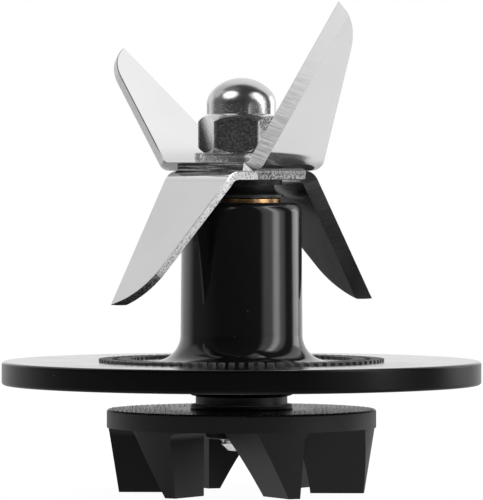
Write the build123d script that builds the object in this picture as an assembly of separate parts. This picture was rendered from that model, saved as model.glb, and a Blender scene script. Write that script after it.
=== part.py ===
from build123d import *
import os
from dataclasses import dataclass
from math import cos, radians, sin, tan

# Blender blade assembly: two crossed stamped blades clamped on a spindle, which turns on two ball
# bearings inside a hubbed base plate and is driven from below by a moulded dog coupler.
# Millimetres. Z is the spin axis, with z = 0 at the feet of the coupler dogs.

# Base plate: disc, hub above it and boss below it
disc_diameter = 82.0
disc_thickness = 4.0
disc_edge_round = 0.5
hub_diameter = 20.5
hub_height = 27.1
hub_draft = 0.5
hub_top_round = 1.8
hub_root_fillet = 4.5
boss_diameter = 18.0
boss_height = 1.9
boss_edge_round = 0.8
boss_root_fillet = 0.4
bottom_lip_thickness = 1.4
bottom_lip_bore = 12.0

# Spindle shaft
shaft_diameter = 8.0
shoulder_diameter = 10.0
blade_seat_height = 3.0
flat_width = 7.0
thread_reach_above_nut = 2.4
thread_tip_height = 7.2
thread_tip_chamfer = 1.6

# Ball bearings, both the same
bearing_outer_diameter = 16.0
bearing_width = 5.0
ball_diameter = 2.38
ball_count = 9
inner_ring_diameter = 10.3
outer_ring_bore = 13.7
shield_seat_depth = 0.5
shield_seat_step = 0.35
shield_thickness = 0.3
shield_gap = 0.2
cage_gap = 0.2
cage_floor = 1.7
cage_lip = 0.55

# Bearing spacers, retaining clip, shaft seal and wear ring
sleeve_wall = 1.05
clip_thickness = 1.0
clip_groove_width = 1.1
clip_groove_depth = 0.4
clip_band = 1.25
clip_opening_angle = 50.0
clip_ear_diameter = 2.0
clip_ear_hole = 0.9
seal_height = 2.4
seal_wall = 1.0
seal_web = 0.9
seal_lip_drop = 1.9
seal_lip_thickness = 0.85
seal_spring_wire = 0.5
wear_ring_diameter = 13.2
wear_ring_stand = 0.8
wear_ring_flange = 1.4
wear_ring_recess = 0.3
wear_ring_edge_round = 0.2

# Flared rubber ring on the shoulder, above the wear ring
flare_diameter = 14.3
flare_neck_wall = 0.5
flare_edge = 0.5
flare_hollow_rise = 0.7

# Blades
blade_thickness = 1.5
bend_distance = 9.5
bend_inside_radius = 2.0
edge_offset = 7.6
edge_land = 0.15
bevel_runout = 0.3
upper_azimuth = -45.0
upper_near_bend_angle = 51.5
upper_far_bend_angle = 36.0
upper_wing_length = 34.5
upper_back_offset = 9.0
upper_knee_reach = 25.4
upper_knee_offset = 0.1
upper_bevel_width = 2.2
lower_azimuth = -135.0
lower_near_bend_angle = 58.8
lower_far_bend_angle = 56.8
lower_wing_length = 26.0
lower_back_offset = 7.4
lower_knee_reach = 18.6
lower_knee_offset = 0.6
lower_bevel_width = 2.2

# Washers and cap nut
support_washer_diameter = 13.9
support_washer_thickness = 0.9
top_washer_diameter = 16.0
top_washer_thickness = 1.6
washer_hole_clearance = 0.2
nut_across_flats = 13.0
nut_hex_height = 6.6
nut_turn = -8.8
nut_top_chamfer_reach = 1.44
nut_foot_chamfer_reach = 1.0
nut_chamfer_angle = 42.0
dome_diameter = 11.9
dome_side_height = 1.6
dome_height = 6.2
dome_corner_radius = 3.6
nut_end_room = 0.6

# Drive coupler, its insert and the slinger above it
coupler_diameter = 46.1
rim_thickness = 3.1
rim_edge_round = 0.4
collar_diameter = 17.4
collar_height = 0.9
coupler_boss_diameter = 12.4
coupler_boss_depth = 1.9
coupler_boss_floor = 0.9
insert_across_flats = 10.6
dog_count = 6
dog_height = 11.2
dog_drive_azimuth = -2.0
dog_root_width = 8.3
dog_foot_width = 2.1
dog_root_fillet = 1.5
dog_inner_diameter = 24.0
dog_root_step = 0.25
dog_draft = 1.8
slinger_diameter = 15.7
slinger_thickness = 1.25
slinger_nose_wall = 1.1

# Fits
running_clearance = 0.05
seat_clearance = 0.02
race_clearance = 0.03
axial_gap = 0.15

# Levels up the spin axis, from the coupler feet to the blades
coupler_top = dog_height + rim_thickness
collar_top = coupler_top + collar_height
slinger_top = collar_top + slinger_thickness
boss_bottom = slinger_top + axial_gap
disc_bottom = boss_bottom + boss_height
disc_top = disc_bottom + disc_thickness
hub_top = disc_top + hub_height
wear_ring_top = hub_top + wear_ring_stand
wear_seat_top = hub_top - wear_ring_recess
seal_top = wear_seat_top - wear_ring_flange
seal_bottom = seal_top - seal_height
upper_bearing_top = seal_bottom - clip_groove_width
upper_bearing_bottom = upper_bearing_top - bearing_width
lower_bearing_bottom = boss_bottom + bottom_lip_thickness
lower_bearing_top = lower_bearing_bottom + bearing_width
blade_seat = hub_top + blade_seat_height
lower_blade_bottom = blade_seat + support_washer_thickness
upper_blade_bottom = lower_blade_bottom + blade_thickness
top_washer_bottom = upper_blade_bottom + blade_thickness
nut_bottom = top_washer_bottom + top_washer_thickness
nut_hex_top = nut_bottom + nut_hex_height
thread_top = nut_hex_top + thread_reach_above_nut

# Radii that several pieces share
shaft_radius = shaft_diameter / 2
shoulder_radius = shoulder_diameter / 2
housing_bore = bearing_outer_diameter / 2
housing_seat = housing_bore - seat_clearance
shaft_seat = shaft_radius + seat_clearance
ball_radius = ball_diameter / 2
pitch_radius = (shaft_diameter + bearing_outer_diameter) / 4
race_radius = ball_radius + race_clearance


def turned(*corners):
    """Turn a closed profile of (radius, height) or (radius, height, rounding) corners."""
    points = [(corner[0], corner[1]) for corner in corners]
    rounds = [corner[2] if len(corner) > 2 else 0 for corner in corners]
    outline = FilletPolyline(*points, radius=rounds, close=True)
    return revolve(Plane.XZ * make_face(outline), Axis.Z)


def ring(inner, outer, bottom, top):
    """A plain turned ring."""
    return turned((inner, bottom), (outer, bottom), (outer, top), (inner, top))


def base_plate():
    """Disc, hub and boss as one turned piece, bored for the bearings with a lip left at the bottom."""
    hub = hub_diameter / 2
    hub_root = hub + hub_height * tan(radians(hub_draft))
    rim = disc_diameter / 2
    boss = boss_diameter / 2
    lip = bottom_lip_bore / 2
    groove = housing_bore + clip_groove_depth
    return turned(
        (lip, boss_bottom),
        (boss, boss_bottom, boss_edge_round),
        (boss, disc_bottom, boss_root_fillet),
        (rim, disc_bottom, disc_edge_round),
        (rim, disc_top, disc_edge_round),
        (hub_root, disc_top, hub_root_fillet),
        (hub, hub_top, hub_top_round),
        (housing_bore, hub_top),
        (housing_bore, seal_bottom),
        (groove, seal_bottom),
        (groove, upper_bearing_top),
        (housing_bore, upper_bearing_top),
        (housing_bore, lower_bearing_bottom),
        (lip, lower_bearing_bottom),
    )


def shaft():
    """Spindle: chamfered threaded foot, bearing journal, shoulder, blade flats and threaded top."""
    tip = shaft_radius - thread_tip_chamfer
    body = turned(
        (0, thread_tip_height),
        (tip, thread_tip_height),
        (shaft_radius, thread_tip_height + thread_tip_chamfer),
        (shaft_radius, upper_bearing_top),
        (shoulder_radius, upper_bearing_top),
        (shoulder_radius, blade_seat),
        (shaft_radius, blade_seat),
        (shaft_radius, thread_top),
        (0, thread_top),
    )
    return body - shaft_flats(blade_seat, top_washer_bottom, flat_width)


def shaft_flats(bottom, top, width):
    """The two slabs beside the blade flats, from bottom to top."""
    height = top - bottom
    slab = Pos(width / 2 + shaft_diameter / 2, 0, bottom + height / 2) * Box(
        shaft_diameter, 2 * shaft_diameter, height
    )
    slabs = slab + Rot(0, 0, 180) * slab
    return Rot(0, 0, upper_azimuth) * slabs


def keyed_hole(bottom, top):
    """Cutter for a round hole with two flats that turns with the spindle."""
    radius = shaft_radius + running_clearance
    hole = plug(radius, bottom, top)
    return hole - shaft_flats(bottom, top, flat_width + 2 * running_clearance)


def plug(radius, bottom, top):
    """A plain turned plug."""
    return turned((0, bottom), (radius, bottom), (radius, top), (0, top))


def bearing(bottom):
    """One ball bearing standing on the given level: its rings, balls, cage and two shields."""
    middle = bottom + bearing_width / 2
    top = bottom + bearing_width
    groove = Pos(0, 0, middle) * Torus(pitch_radius, race_radius)
    inner = ring(shaft_seat, inner_ring_diameter / 2, bottom, top) - groove
    bore = outer_ring_bore / 2
    step = bore + shield_seat_step
    outer = turned(
        (step, bottom),
        (housing_seat, bottom),
        (housing_seat, top),
        (step, top),
        (step, top - shield_seat_depth),
        (bore, top - shield_seat_depth),
        (bore, bottom + shield_seat_depth),
        (step, bottom + shield_seat_depth),
    )
    outer = outer - groove
    stations = PolarLocations(pitch_radius, ball_count)
    balls = [Pos(0, 0, middle) * place * Sphere(ball_radius) for place in stations]
    cage = ring(
        inner_ring_diameter / 2 + cage_gap, bore - cage_gap, middle - cage_floor, middle + cage_lip
    )
    for place in stations:
        cage = cage - Pos(0, 0, middle) * place * Sphere(ball_radius + running_clearance)
    shield = ring(
        inner_ring_diameter / 2 + shield_gap,
        step - seat_clearance,
        bottom + shield_seat_depth - shield_thickness,
        bottom + shield_seat_depth,
    )
    lift = bearing_width - 2 * shield_seat_depth + shield_thickness
    shields = [shield, Pos(0, 0, lift) * shield]
    return inner, outer, Compound(balls), cage, Compound(shields)


def retaining_clip():
    """Internal spring clip with two drilled ears, lying on the upper bearing's outer ring."""
    outer = housing_bore + clip_groove_depth - running_clearance
    inner = outer - clip_band
    reach = 2 * outer
    half = radians(clip_opening_angle / 2)
    opening = make_face(
        Polyline(
            (0, 0),
            (reach * cos(half), -reach * sin(half)),
            (reach * cos(half), reach * sin(half)),
            close=True,
        )
    )
    band = Circle(outer) - Circle(inner) - opening
    for side in (-1, 1):
        angle = side * (half + clip_ear_diameter / 2 / inner)
        place = Pos(inner * cos(angle), inner * sin(angle))
        band = band + place * Circle(clip_ear_diameter / 2) - place * Circle(clip_ear_hole / 2)
    band = band & Circle(outer)
    return Pos(0, 0, upper_bearing_top) * extrude(band, clip_thickness)


def shaft_seal():
    """Rubber seal: outer wall, web and a thin lip that rides on the shaft shoulder."""
    lip = shoulder_radius + running_clearance
    back = lip + seal_lip_thickness
    return turned(
        (housing_seat - seal_wall, seal_bottom),
        (housing_seat, seal_bottom),
        (housing_seat, seal_top),
        (lip + seal_lip_thickness / 2, seal_top),
        (lip, seal_top - seal_web / 2),
        (lip, seal_top - seal_web),
        (back - seal_lip_thickness / 2, seal_top - seal_lip_drop),
        (back, seal_top - seal_lip_drop),
        (back, seal_top - seal_web),
        (housing_seat - seal_wall, seal_top - seal_web),
    )


def seal_spring():
    """Garter spring that holds the seal lip in, as one closed ring of its wire's outside."""
    back = shoulder_radius + running_clearance + seal_lip_thickness
    height = seal_top - (seal_web + seal_lip_drop) / 2
    return Pos(0, 0, height) * Torus(back + seat_clearance + seal_spring_wire / 2, seal_spring_wire / 2)


def wear_ring():
    """Bronze ring: a flange in the hub's bore and a collar that stands proud of the hub."""
    bore = shoulder_radius + 2 * running_clearance
    collar = wear_ring_diameter / 2
    return turned(
        (bore, seal_top),
        (housing_seat, seal_top),
        (housing_seat, wear_seat_top),
        (collar, wear_seat_top),
        (collar, wear_ring_top, wear_ring_edge_round),
        (bore, wear_ring_top),
    )


def flared_ring():
    """Rubber ring gripping the shoulder, flared down to a lip that just clears the wear ring."""
    grip = shoulder_radius + seat_clearance
    flare = flare_diameter / 2
    foot = wear_ring_top + running_clearance
    neck = Line((grip, blade_seat), (grip + flare_neck_wall, blade_seat))
    sweep = TangentArc(neck @ 1, (flare, foot + flare_edge), tangent=(0, -1))
    under = Polyline(
        sweep @ 1,
        (flare, foot),
        (flare - flare_edge, foot),
        (grip, foot + flare_hollow_rise),
        (grip, blade_seat),
    )
    return revolve(Plane.XZ * make_face(neck + sweep + under), Axis.Z)


@dataclass
class WingShape:
    """Outline of a wing from its fold: straight cutting edge, tapered back and an arc to the tip."""

    length: float
    back_offset: float
    knee_reach: float
    knee_offset: float
    bevel_width: float


def fold_setback(bend):
    """Distance from the crease, where the sheet's two mid-planes meet, to the start of the fold."""
    return (bend_inside_radius + blade_thickness / 2) * tan(radians(bend / 2))


def wing(bend, rise, shape):
    """One folded wing along +X, and the space that grinding its edge clears.

    The blade's underside is at z = 0. bend is the angle of the fold, and rise is 1 for a wing that
    is folded up or -1 for one folded down. The cutting edge is on the -Y side, ground from below.
    """
    setback = fold_setback(bend)
    start = bend_distance - setback
    pivot = (start, 0, blade_thickness / 2 + rise * (bend_inside_radius + blade_thickness / 2))
    hinge = Axis(pivot, (0, -rise, 0))
    before_fold = Plane(origin=(start, 0, 0), x_dir=(0, 1, 0), z_dir=(1, 0, 0))
    width = shape.back_offset + edge_offset
    section = Pos((shape.back_offset - edge_offset) / 2, blade_thickness / 2) * Rectangle(
        width, blade_thickness
    )
    fold = revolve(before_fold * section, hinge, bend)

    along = Vector(cos(radians(bend)), 0, rise * sin(radians(bend)))
    normal = Vector(-rise * sin(radians(bend)), 0, cos(radians(bend)))
    crease = Vector(bend_distance, 0, blade_thickness / 2) - normal * (blade_thickness / 2)
    after_fold = Plane(origin=crease + along * setback, x_dir=(0, 1, 0), z_dir=along)
    knee = (shape.knee_reach, shape.knee_offset)
    sides = Polyline(
        knee,
        (setback, shape.back_offset),
        (setback, -edge_offset),
        (shape.length, -edge_offset),
    )
    heading = (shape.knee_reach - setback, shape.knee_offset - shape.back_offset)
    tip = TangentArc(knee, sides @ 1, tangent=heading)
    sheet = Plane(origin=crease, x_dir=along, z_dir=normal)
    plate = extrude(sheet * make_face(sides + tip), blade_thickness)

    slope = (blade_thickness - edge_land) / shape.bevel_width
    spill = bend_inside_radius / 2
    bevel_line = shape.bevel_width - edge_offset
    ground = make_face(
        Polyline(
            (bevel_line, 0),
            (-edge_offset - spill, slope * (shape.bevel_width + spill)),
            (-edge_offset - spill, -spill),
            (bevel_line, -spill),
            close=True,
        )
    )
    runout_end = Vertex(start - bevel_runout, -edge_offset - spill, -spill)
    grinding = loft([runout_end, before_fold * ground])
    grinding = grinding + revolve(before_fold * ground, hinge, bend)
    grinding = grinding + extrude(after_fold * ground, shape.length)
    return fold + plate, grinding


def stamped_blade(bottom, azimuth, bends, rise, shape):
    """A blade strip with two folded and ground wings, keyed to the shaft."""
    near_start, far_start = [bend_distance - fold_setback(bend) for bend in bends]
    strip = Polyline(
        (near_start, -edge_offset),
        (near_start, shape.back_offset),
        (-far_start, edge_offset),
        (-far_start, -shape.back_offset),
        close=True,
    )
    blade = extrude(make_face(strip), blade_thickness)
    near_wing, near_grinding = wing(bends[0], rise, shape)
    far_wing, far_grinding = wing(bends[1], rise, shape)
    half_turn = Rot(0, 0, 180)
    blade = blade + near_wing + half_turn * far_wing
    blade = blade - near_grinding - half_turn * far_grinding
    blade = Pos(0, 0, bottom) * Rot(0, 0, azimuth) * blade
    return blade - keyed_hole(bottom, bottom + blade_thickness)


def upper_blade():
    """The blade whose wings are folded up, one steeper than the other."""
    shape = WingShape(
        upper_wing_length,
        upper_back_offset,
        upper_knee_reach,
        upper_knee_offset,
        upper_bevel_width,
    )
    bends = (upper_near_bend_angle, upper_far_bend_angle)
    return stamped_blade(upper_blade_bottom, upper_azimuth, bends, 1, shape)


def lower_blade():
    """The blade whose wings are folded down."""
    shape = WingShape(
        lower_wing_length,
        lower_back_offset,
        lower_knee_reach,
        lower_knee_offset,
        lower_bevel_width,
    )
    bends = (lower_near_bend_angle, lower_far_bend_angle)
    return stamped_blade(lower_blade_bottom, lower_azimuth, bends, -1, shape)


def cap_nut():
    """Hexagon with both ends chamfered, a domed cap and a blind threaded hole."""
    hexagon = RegularPolygon(nut_across_flats / 2, 6, major_radius=False, rotation=nut_turn)
    body = Pos(0, 0, nut_bottom) * extrude(hexagon, nut_hex_height)
    corner = nut_across_flats / 2 / cos(radians(30))
    slope = tan(radians(nut_chamfer_angle))
    envelope = turned(
        (0, nut_bottom),
        (corner - nut_foot_chamfer_reach, nut_bottom),
        (corner, nut_bottom + nut_foot_chamfer_reach * slope),
        (corner, nut_hex_top - nut_top_chamfer_reach * slope),
        (corner - nut_top_chamfer_reach, nut_hex_top),
        (0, nut_hex_top),
    )
    hole_top = thread_top + nut_end_room
    return (body & envelope) + dome() - plug(shaft_seat, nut_bottom, hole_top)


def dome():
    """Cap of the nut: a short cylinder, a tight corner arc and a flatter crown."""
    radius = dome_diameter / 2
    shoulder = nut_hex_top + dome_side_height
    crown_rise = dome_height - dome_side_height
    inset = radius - dome_corner_radius
    excess = crown_rise - dome_corner_radius
    crown_radius = dome_corner_radius + (inset**2 + excess**2) / (2 * excess)
    crown_centre = shoulder + crown_rise - crown_radius
    reach = Vector(inset, shoulder - crown_centre).normalized()
    meet = Vector(0, crown_centre) + reach * crown_radius
    side = Polyline((0, shoulder + crown_rise), (0, nut_hex_top), (radius, nut_hex_top), (radius, shoulder))
    corner = TangentArc(side @ 1, meet, tangent=(0, 1))
    crown = TangentArc(corner @ 1, (0, shoulder + crown_rise), tangent=corner % 1)
    return revolve(Plane.XZ * make_face(side + corner + crown), Axis.Z)


def support_washer():
    """Washer between the shaft shoulder and the lower blade."""
    blank = plug(support_washer_diameter / 2, blade_seat, lower_blade_bottom)
    return blank - keyed_hole(blade_seat, lower_blade_bottom)


def top_washer():
    """Plain washer under the cap nut."""
    return ring(
        shaft_radius + washer_hole_clearance, top_washer_diameter / 2, top_washer_bottom, nut_bottom
    )


def slinger():
    """Disc above the coupler with a nose that clamps the lower bearing's inner ring."""
    nose = shaft_seat + slinger_nose_wall
    rim = slinger_diameter / 2
    return turned(
        (shaft_seat, collar_top),
        (rim, collar_top),
        (rim, slinger_top),
        (nose, slinger_top),
        (nose, lower_bearing_bottom),
        (shaft_seat, lower_bearing_bottom),
    )


def insert_blank(extra):
    """Hexagonal block of the coupler's threaded insert, made larger by extra on each flat."""
    hexagon = RegularPolygon(insert_across_flats / 2 + extra, 6, major_radius=False)
    bottom = dog_height - coupler_boss_depth + coupler_boss_floor
    return Pos(0, 0, bottom) * extrude(hexagon, collar_top - bottom)


def coupler_insert():
    """Steel insert moulded into the coupler, threaded on the shaft's foot."""
    return insert_blank(0) - plug(shaft_seat, 0, collar_top)


def coupler_dog():
    """One saw-tooth dog at azimuth 0, with its upright drive face on the +Y side."""
    sunk = rim_thickness / 2
    flank = Polyline(
        (0, dog_height - dog_root_fillet),
        (0, 0),
        (-dog_foot_width, 0),
        (-dog_root_width, dog_height),
        (-dog_root_width, dog_height + sunk),
        (dog_root_fillet, dog_height + sunk),
        (dog_root_fillet, dog_height),
    )
    root = RadiusArc(flank @ 1, flank @ 0, -dog_root_fillet)
    prism = extrude(Plane.YZ * make_face(flank + root), coupler_diameter)
    rim = coupler_diameter / 2 - dog_root_step
    inner = dog_inner_diameter / 2
    zone = turned(
        (inner, 0),
        (rim - dog_draft, 0),
        (rim, dog_height),
        (rim, dog_height + sunk),
        (inner, dog_height + sunk),
    )
    return prism & zone


def drive_coupler():
    """Moulded coupler: rimmed plate, collar, boss and a ring of saw-tooth dogs."""
    rim = coupler_diameter / 2
    boss = coupler_boss_diameter / 2
    collar = collar_diameter / 2
    boss_foot = dog_height - coupler_boss_depth
    hub = turned(
        (0, boss_foot),
        (boss, boss_foot, rim_edge_round),
        (boss, dog_height, rim_edge_round),
        (rim, dog_height),
        (rim, coupler_top, rim_edge_round),
        (collar, coupler_top, rim_edge_round),
        (collar, collar_top, rim_edge_round),
        (0, collar_top),
    )
    dog = coupler_dog()
    for index in range(dog_count):
        hub = hub + Rot(0, 0, dog_drive_azimuth + index * 360 / dog_count) * dog
    hole = plug(shaft_radius + washer_hole_clearance, boss_foot, collar_top)
    return hub - insert_blank(seat_clearance) - hole


def spacer_sleeves():
    """Inner and outer sleeves that hold the two bearings apart."""
    inner = ring(shaft_seat, shaft_seat + sleeve_wall, lower_bearing_top, upper_bearing_bottom)
    outer = ring(housing_seat - sleeve_wall, housing_seat, lower_bearing_top, upper_bearing_bottom)
    return inner, outer


def main():
    """Build every piece in place and write each to its own file."""
    inner_sleeve, outer_sleeve = spacer_sleeves()
    pieces = {
        "base_plate": base_plate(),
        "inner_spacer_sleeve": inner_sleeve,
        "outer_spacer_sleeve": outer_sleeve,
        "retaining_clip": retaining_clip(),
        "shaft_seal": shaft_seal(),
        "seal_spring": seal_spring(),
        "wear_ring": wear_ring(),
        "shaft": shaft(),
        "flared_ring": flared_ring(),
        "support_washer": support_washer(),
        "lower_blade": lower_blade(),
        "upper_blade": upper_blade(),
        "top_washer": top_washer(),
        "cap_nut": cap_nut(),
        "slinger": slinger(),
        "drive_coupler": drive_coupler(),
        "coupler_insert": coupler_insert(),
    }
    for name, bottom in (("lower", lower_bearing_bottom), ("upper", upper_bearing_bottom)):
        inner, outer, balls, cage, shields = bearing(bottom)
        pieces[name + "_bearing_inner_ring"] = inner
        pieces[name + "_bearing_outer_ring"] = outer
        pieces[name + "_bearing_balls"] = balls
        pieces[name + "_bearing_cage"] = cage
        pieces[name + "_bearing_shields"] = shields
    os.makedirs("parts", exist_ok=True)
    for name, piece in pieces.items():
        export_step(piece, "parts/" + name + ".step")


main()
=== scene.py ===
import logging
import math
from dataclasses import dataclass
from enum import Enum, IntEnum
from typing import Dict, Iterable, List, NamedTuple, Optional, Sequence, Tuple, Union

import bmesh
import bpy
from mathutils import Matrix, Vector


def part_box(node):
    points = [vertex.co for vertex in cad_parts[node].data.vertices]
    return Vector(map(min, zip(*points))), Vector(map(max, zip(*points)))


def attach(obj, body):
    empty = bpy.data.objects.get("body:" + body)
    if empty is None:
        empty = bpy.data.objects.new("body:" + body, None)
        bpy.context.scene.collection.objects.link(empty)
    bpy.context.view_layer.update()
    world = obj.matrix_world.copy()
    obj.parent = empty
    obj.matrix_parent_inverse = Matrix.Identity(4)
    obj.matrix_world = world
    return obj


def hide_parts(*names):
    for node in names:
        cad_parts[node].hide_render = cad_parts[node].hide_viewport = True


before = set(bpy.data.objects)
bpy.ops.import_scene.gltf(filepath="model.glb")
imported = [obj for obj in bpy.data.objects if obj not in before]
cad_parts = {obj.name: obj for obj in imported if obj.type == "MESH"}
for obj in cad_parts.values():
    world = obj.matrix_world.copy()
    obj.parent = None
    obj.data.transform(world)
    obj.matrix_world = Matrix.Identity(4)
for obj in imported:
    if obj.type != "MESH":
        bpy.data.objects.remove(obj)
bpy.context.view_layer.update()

log = logging.getLogger("blade_assembly")

MM = 0.001
MERGE = 1e-3
FINE_MERGE = 1e-4
FLAT_ANGLE = math.radians(0.3)
FULL_TURN = 2 * math.pi
IMAGE_WIDTH = 483
SHEET_UV = "sheet"


class Body(Enum):
    """The rigid bodies that pieces ride on."""

    HOUSING = "housing"
    SPINDLE = "spindle"


class Fold(Enum):
    """Which way a blade's wings are folded."""

    UP = 1
    DOWN = -1


class Skin(IntEnum):
    """Places of a blade's finishes in its list of materials."""

    TOP = 0
    BEVEL = 1
    EDGE = 2
    UNDER = 3
    BORDER = 4


class Socket:
    """A shader socket that takes part in Python arithmetic."""

    def __init__(self, net: "Net", source: bpy.types.NodeSocket) -> None:
        """Keep the socket and the net that it belongs to."""
        self.net = net
        self.source = source

    def __add__(self, other: "Value") -> "Socket":
        """Sum."""
        return self.net.math("ADD", self, other)

    def __radd__(self, other: "Value") -> "Socket":
        """Sum, with the number first."""
        return self.net.math("ADD", other, self)

    def __sub__(self, other: "Value") -> "Socket":
        """Difference."""
        return self.net.math("SUBTRACT", self, other)

    def __rsub__(self, other: "Value") -> "Socket":
        """Difference, with the number first."""
        return self.net.math("SUBTRACT", other, self)

    def __mul__(self, other: "Value") -> "Socket":
        """Product."""
        return self.net.math("MULTIPLY", self, other)

    def __rmul__(self, other: "Value") -> "Socket":
        """Product, with the number first."""
        return self.net.math("MULTIPLY", other, self)

    def __truediv__(self, other: "Value") -> "Socket":
        """Quotient."""
        return self.net.math("DIVIDE", self, other)

    def __pow__(self, other: "Value") -> "Socket":
        """Power."""
        return self.net.math("POWER", self, other)

    def __abs__(self) -> "Socket":
        """Size without sign."""
        return self.net.math("ABSOLUTE", self)

    def larger(self, other: "Value") -> "Socket":
        """The larger of two values."""
        return self.net.math("MAXIMUM", self, other)

    def band(self, low: float, high: float, soft: float) -> "Socket":
        """A window that is 1 between low and high, with ends that fade over twice soft."""
        return self.step(low - soft, low + soft) * self.step(high + soft, high - soft)

    def step(self, low: float, high: float) -> "Socket":
        """Rise smoothly from 0 at low to 1 at high.

        Args:
            low: Value at which the step starts.
            high: Value at which it ends; it may be below low for a falling step.

        Returns:
            A socket from 0 to 1.
        """
        smooth = {"interpolation_type": "SMOOTHSTEP"}
        return self.net.node("ShaderNodeMapRange", smooth, {0: self, 1: low, 2: high})


Value = Union[Socket, float, Sequence[float]]
Colour = Tuple[float, float, float]
Tint = Union[Socket, Colour]


def grey(level: float) -> Colour:
    """A colour without hue."""
    return (level, level, level)


class Net:
    """A node tree, with one method that makes any node."""

    def __init__(self, tree: bpy.types.NodeTree) -> None:
        """Keep the tree."""
        self.tree = tree

    def put(self, target: bpy.types.NodeSocket, value: Value) -> None:
        """Link a socket to a target, or set the target's own value."""
        if isinstance(value, Socket):
            self.tree.links.new(value.source, target)
        else:
            target.default_value = value

    def node(
        self,
        kind: str,
        settings: Optional[dict] = None,
        inputs: Optional[dict] = None,
        out: Union[int, str] = 0,
    ) -> Socket:
        """Make one node.

        Args:
            kind: The node's type name.
            settings: Attributes that are set first.
            inputs: Values or sockets by input name or number.
            out: The output that is returned.

        Returns:
            The chosen output.
        """
        made = self.tree.nodes.new(kind)
        for key, value in (settings or {}).items():
            setattr(made, key, value)
        for key, value in (inputs or {}).items():
            self.put(made.inputs[key], value)
        return Socket(self, made.outputs[out])

    def math(self, operation: str, *values: Value) -> Socket:
        """One Math node on up to three values."""
        return self.node("ShaderNodeMath", {"operation": operation}, dict(enumerate(values)))

    def place(self) -> Socket:
        """Object coordinates, in metres in the assembly's frame."""
        return self.node("ShaderNodeTexCoord", out="Object")

    def sheet(self) -> Socket:
        """Flat coordinates of a blade's sheet, in millimetres."""
        return self.node("ShaderNodeUVMap", {"uv_map": SHEET_UV})

    def split(self, vector: Socket) -> List[Socket]:
        """The three parts of a vector."""
        parts = self.node("ShaderNodeSeparateXYZ", inputs={0: vector}).source.node
        return [Socket(self, output) for output in parts.outputs]

    def stretch(self, vector: Socket, by: Sequence[float]) -> Socket:
        """A vector with each part multiplied by its own number."""
        return self.node("ShaderNodeVectorMath", {"operation": "MULTIPLY"}, {0: vector, 1: by})

    def noise(self, vector: Socket, scale: float, detail: float = 2.0, rough: float = 0.5) -> Socket:
        """Smooth noise from 0 to 1.

        Args:
            vector: Where it is read.
            scale: Features for each unit of the vector.
            detail: Number of finer layers.
            rough: Strength of the finer layers.

        Returns:
            The noise value.
        """
        inputs = {"Vector": vector, "Scale": scale, "Detail": detail, "Roughness": rough}
        return self.node("ShaderNodeTexNoise", {"noise_dimensions": "3D"}, inputs)

    def specks(self, vector: Socket, scale: float, size: float, share: float) -> Socket:
        """Scattered round specks.

        Args:
            vector: Where they are read.
            scale: Cells for each unit of the vector.
            size: Radius of a speck, as a share of its cell.
            share: Share of the cells that hold one.

        Returns:
            A mask that is 1 on a speck.
        """
        cell = self.node("ShaderNodeTexVoronoi", inputs={"Vector": vector, "Scale": scale})
        near = cell.step(size, size * 0.4)
        chance = Socket(self, cell.source.node.outputs["Color"])
        picked = self.split(chance)[0].step(1 - share, 1 - share + 0.02)
        return near * picked

    def mix(self, factor: Value, first: Tint, second: Tint) -> Socket:
        """Blend two colours."""
        ends = [tint if isinstance(tint, Socket) else (*tint, 1.0) for tint in (first, second)]
        inputs = {0: factor, 6: ends[0], 7: ends[1]}
        return self.node("ShaderNodeMix", {"data_type": "RGBA"}, inputs, out=2)

    def bump(
        self, height: Socket, depth: float, strength: Value = 1.0, onto: Optional[Socket] = None,
    ) -> Socket:
        """A normal tilted by a height field.

        Args:
            height: The height, from 0 to 1.
            depth: What a height of 1 stands for, in metres.
            strength: Share of the tilt that is kept.
            onto: A normal that is already tilted, if any.

        Returns:
            The tilted normal.
        """
        inputs = {"Height": height, "Distance": depth, "Strength": strength}
        if onto is not None:
            inputs["Normal"] = onto
        return self.node("ShaderNodeBump", None, inputs)

    def bowed(self, lean: float, start: float, end: float) -> Socket:
        """Height of a sheet that leans towards its tips, most at the fold.

        Args:
            lean: Slope at the fold.
            start: Where the fold starts on the flat sheet, in millimetres.
            end: Where the lean has gone.

        Returns:
            The height in millimetres.
        """
        along = abs(self.split(self.sheet())[0])
        share = self.node("ShaderNodeMapRange", None, {0: along, 1: start, 2: end})
        return (share * share * 0.5 - share) * (lean * (end - start))

    def radius(self) -> Socket:
        """Distance from the spin axis, in metres."""
        x, y, _ = self.split(self.place())
        return (x * x + y * y) ** 0.5


@dataclass(frozen=True)
class Finish:
    """A finish that makes its material once."""

    name: str

    def material(self) -> bpy.types.Material:
        """The finish's material, made on first use.

        Returns:
            A material with a procedural shader.
        """
        found = bpy.data.materials.get(self.name)
        if found is not None:
            return found
        made = bpy.data.materials.new(self.name)
        made.use_nodes = True
        net = Net(made.node_tree)
        shader = made.node_tree.nodes["Principled BSDF"]
        for socket, value in self.paint(net).items():
            net.put(shader.inputs[socket], value)
        return made

    def paint(self, net: Net) -> Dict[str, Value]:
        """Work out the shader's inputs.

        Args:
            net: The material's node tree.

        Returns:
            Values or sockets by the shader's input names.
        """
        raise NotImplementedError


@dataclass(frozen=True)
class GlossCoating(Finish):
    """Black gloss coating with faint orange peel and dust."""

    colour: Colour = (0.010, 0.010, 0.0105)
    dust_colour: Colour = grey(0.2)
    roughness: float = 0.1
    specular: float = 0.5

    def paint(self, net: Net) -> Dict[str, Value]:
        """Dust lightens and dulls the coating here and there."""
        place = net.place()
        dust = net.specks(place, 900.0, 0.13, 0.035)
        haze = net.noise(place, 70.0, 3.0).step(0.35, 0.8)
        peel = net.noise(place, 520.0, 1.0)
        return {
            "Base Color": net.mix(dust, self.colour, self.dust_colour),
            "Specular IOR Level": self.specular,
            "Roughness": self.roughness + haze * 0.04 + dust * 0.3,
            "Normal": net.bump(peel, 0.000012, 0.5),
        }


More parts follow.
